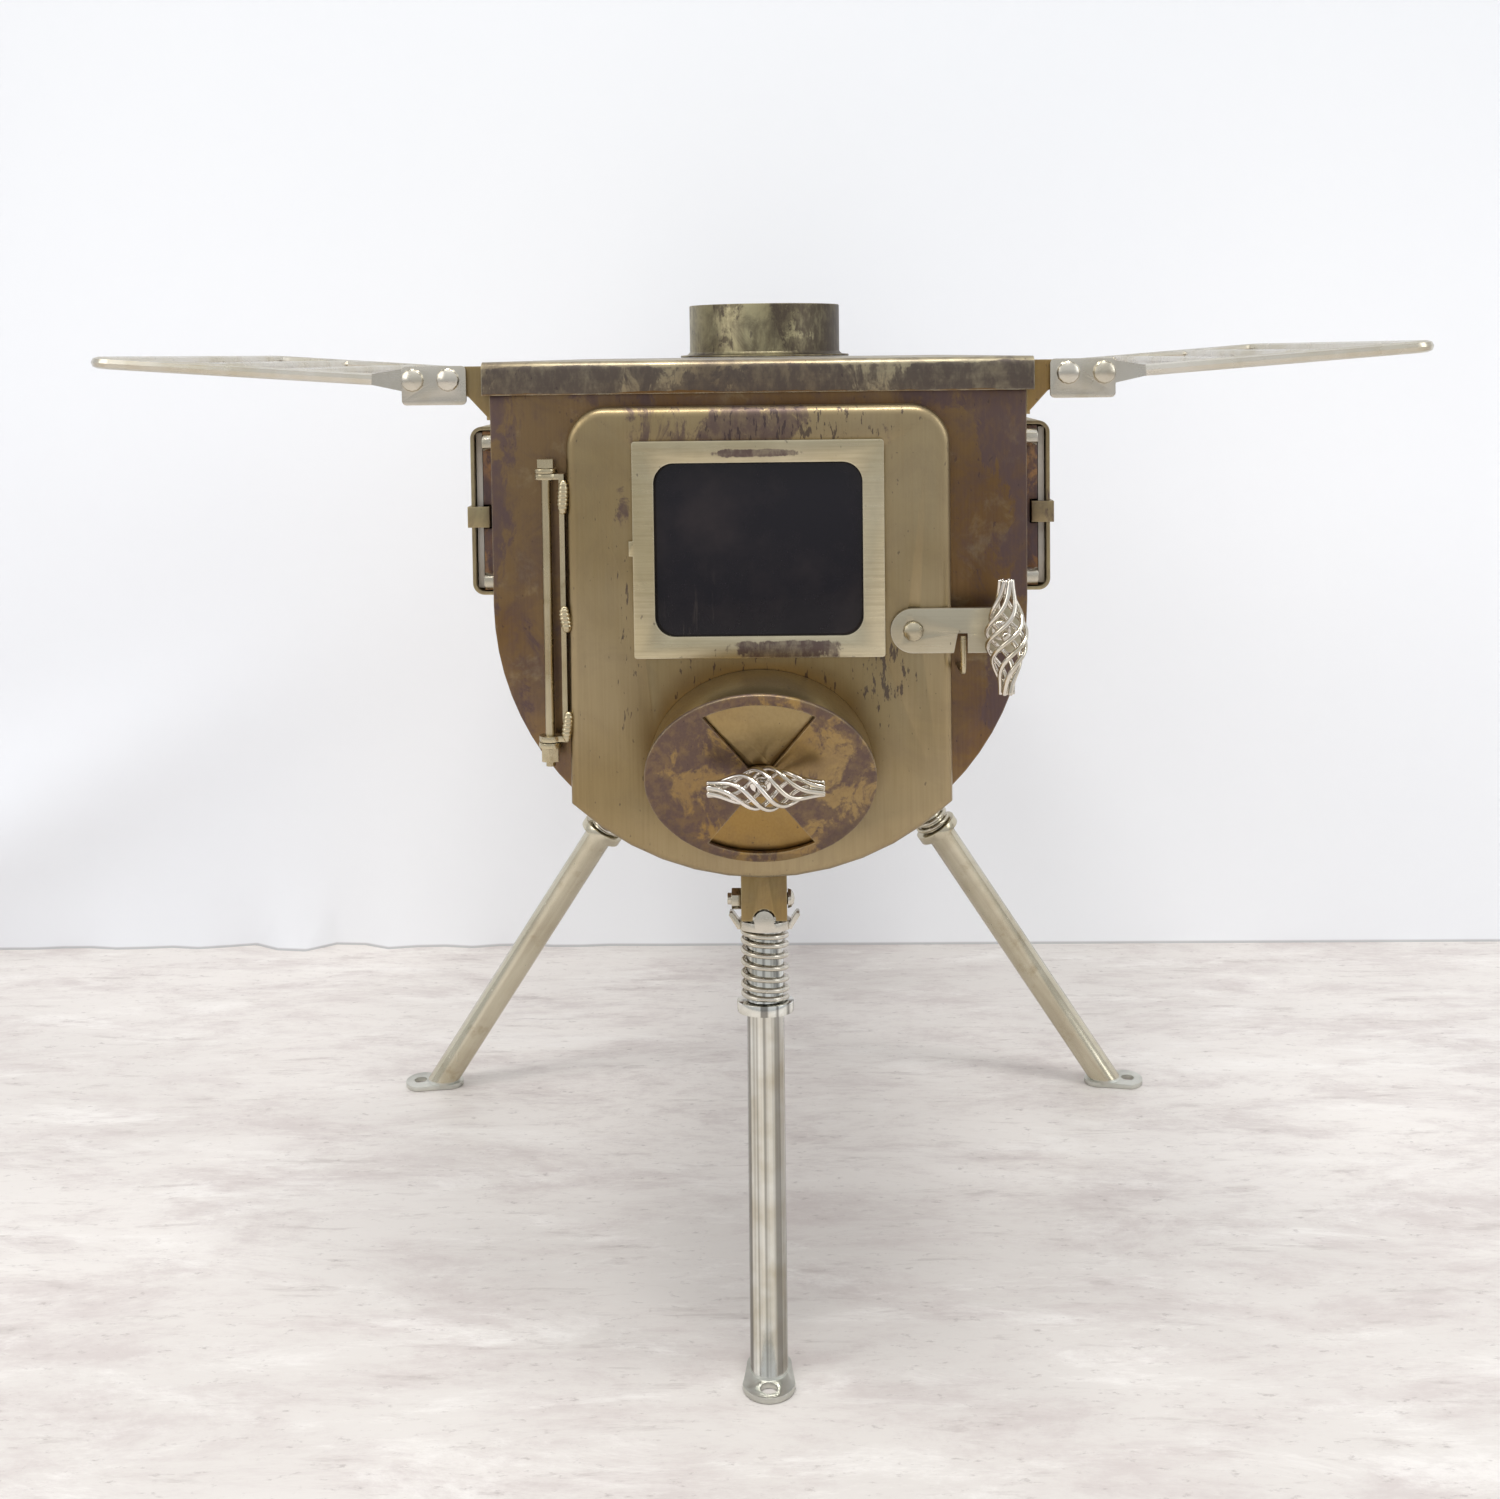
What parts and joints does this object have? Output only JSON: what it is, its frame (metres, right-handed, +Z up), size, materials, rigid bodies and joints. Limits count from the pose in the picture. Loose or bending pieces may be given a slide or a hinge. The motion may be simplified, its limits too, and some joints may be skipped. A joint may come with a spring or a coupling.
{
  "type": "folding wood stove for a tent",
  "caption": "U-shaped steel tent stove on folding legs, with a hinged glass door, turning air damper, side windows, flue collar and two folding wire shelves.",
  "frame": {"origin": "on the floor under the middle of the whole stove", "axes": "+Z up, -Y out of the door, +X towards the right-hand shelf seen from the front"},
  "size_m": [0.5486, 0.4418, 0.4562],
  "materials": {
    "heat_tinted_steel": "stainless sheet tinted brown by heat",
    "straw_tinted_steel": "stainless sheet tinted straw and khaki by heat",
    "bright_steel": "polished stainless wire, tube and fasteners",
    "sooty_steel": "scorched plate inside the firebox",
    "window_glass": "clear heatproof glass, dark with soot"
  },
  "bodies": {
    "firebox": {"body_shell": "heat_tinted_steel", "front_panel": "heat_tinted_steel", "back_panel": "heat_tinted_steel", "top_plate": "heat_tinted_steel", "flue_collar": "heat_tinted_steel", "baffle_plate": "sooty_steel", "fire_grate": "sooty_steel", "side_window_seat_right": "heat_tinted_steel", "side_window_seat_left": "heat_tinted_steel", "side_window_frame_right": "straw_tinted_steel", "side_window_frame_left": "straw_tinted_steel", "side_window_glass_right": "window_glass", "side_window_glass_left": "window_glass", "side_window_clip_right": "straw_tinted_steel", "side_window_clip_left": "straw_tinted_steel", "shelf_bracket_front_right": "bright_steel", "shelf_bracket_front_left": "bright_steel", "shelf_bracket_rear_right": "bright_steel", "shelf_bracket_rear_left": "bright_steel", "hinge_tab_upper": "straw_tinted_steel", "hinge_tab_lower": "straw_tinted_steel", "hinge_rod": "bright_steel", "latch_hook": "bright_steel", "leg_bracket_front": "straw_tinted_steel", "leg_bolt_front": "bright_steel", "leg_bracket_left": "straw_tinted_steel", "leg_bolt_left": "bright_steel", "leg_bracket_right": "straw_tinted_steel", "leg_bolt_right": "bright_steel"},
    "door": {"door_pan": "straw_tinted_steel", "door_window_frame": "straw_tinted_steel", "door_glass": "window_glass", "door_glass_retainer": "sooty_steel", "door_hinge_leaf": "straw_tinted_steel", "damper_housing": "straw_tinted_steel", "damper_spindle": "bright_steel", "latch_rivet": "bright_steel"},
    "damper": {"damper_disc": "heat_tinted_steel", "damper_handle": "bright_steel"},
    "latch": {"latch_bar": "bright_steel", "latch_handle": "bright_steel"},
    "shelf_links_right": {"shelf_link_front_right": "bright_steel", "shelf_link_rear_right": "bright_steel"},
    "shelf_rack_right": {"shelf_rack_right": "bright_steel"},
    "shelf_links_left": {"shelf_link_front_left": "bright_steel", "shelf_link_rear_left": "bright_steel"},
    "shelf_rack_left": {"shelf_rack_left": "bright_steel"},
    "leg_front": {"leg_tube_front": "bright_steel", "leg_spring_front": "bright_steel"},
    "lock_front": {"leg_lock_front": "bright_steel"},
    "leg_left": {"leg_tube_left": "bright_steel", "leg_spring_left": "bright_steel"},
    "lock_left": {"leg_lock_left": "bright_steel"},
    "leg_right": {"leg_tube_right": "bright_steel", "leg_spring_right": "bright_steel"},
    "lock_right": {"leg_lock_right": "bright_steel"}
  },
  "joints": [
    {"name": "door_hinge", "type": "hinge", "parent": "firebox", "child": "door", "pos_m": [-0.0848, -0.16815, 0.3266], "axis": [0, 0, -1], "range_deg": [0, 160]},
    {"name": "damper_turn", "type": "hinge", "parent": "door", "child": "damper", "pos_m": [0, -0.19665, 0.264], "axis": [0, -0.8581, -0.5135], "range_deg": [0, 90]},
    {"name": "latch_lift", "type": "hinge", "parent": "door", "child": "latch", "pos_m": [0.0607, -0.17515, 0.3175], "axis": [0, -1, 0], "range_deg": [0, 85]},
    {"name": "shelf_link_right", "type": "hinge", "parent": "firebox", "child": "shelf_links_right", "pos_m": [0.1248, -0.0334, 0.4185], "axis": [0, -1, 0], "range_deg": [0, 38.01]},
    {"name": "shelf_fold_right", "type": "hinge", "parent": "shelf_links_right", "child": "shelf_rack_right", "pos_m": [0.1392, -0.0334, 0.4185], "axis": [0, -1, 0], "range_deg": [0, 136]},
    {"name": "shelf_link_left", "type": "hinge", "parent": "firebox", "child": "shelf_links_left", "pos_m": [-0.1248, -0.0334, 0.4185], "axis": [0, 1, 0], "range_deg": [0, 38.01]},
    {"name": "shelf_fold_left", "type": "hinge", "parent": "shelf_links_left", "child": "shelf_rack_left", "pos_m": [-0.1392, -0.0334, 0.4185], "axis": [0, 1, 0], "range_deg": [0, 136]},
    {"name": "leg_fold_front", "type": "hinge", "parent": "firebox", "child": "leg_front", "pos_m": [0, -0.12915, 0.1946], "axis": [1, 0, 0], "range_deg": [0, 97]},
    {"name": "lock_slide_front", "type": "slide", "parent": "leg_front", "child": "lock_front", "axis": [0, -0.1224, -0.9925], "range_m": [0, 0.0055], "stiffness_N_per_m": 500, "springref_m": -0.006, "deforming": ["leg_spring_front"]},
    {"name": "leg_fold_left", "type": "hinge", "parent": "firebox", "child": "leg_left", "pos_m": [-0.0722, 0.10285, 0.1918], "axis": [-0.8408, 0, 0.5414], "range_deg": [0, 94]},
    {"name": "lock_slide_left", "type": "slide", "parent": "leg_left", "child": "lock_left", "axis": [-0.5401, 0.07, -0.8387], "range_m": [0, 0.0055], "stiffness_N_per_m": 500, "springref_m": -0.006, "deforming": ["leg_spring_left"]},
    {"name": "leg_fold_right", "type": "hinge", "parent": "firebox", "child": "leg_right", "pos_m": [0.0722, 0.10285, 0.1918], "axis": [-0.8408, 0, -0.5414], "range_deg": [0, 94]},
    {"name": "lock_slide_right", "type": "slide", "parent": "leg_right", "child": "lock_right", "axis": [0.5401, 0.07, -0.8387], "range_m": [0, 0.0055], "stiffness_N_per_m": 500, "springref_m": -0.006, "deforming": ["leg_spring_right"]}
  ]
}
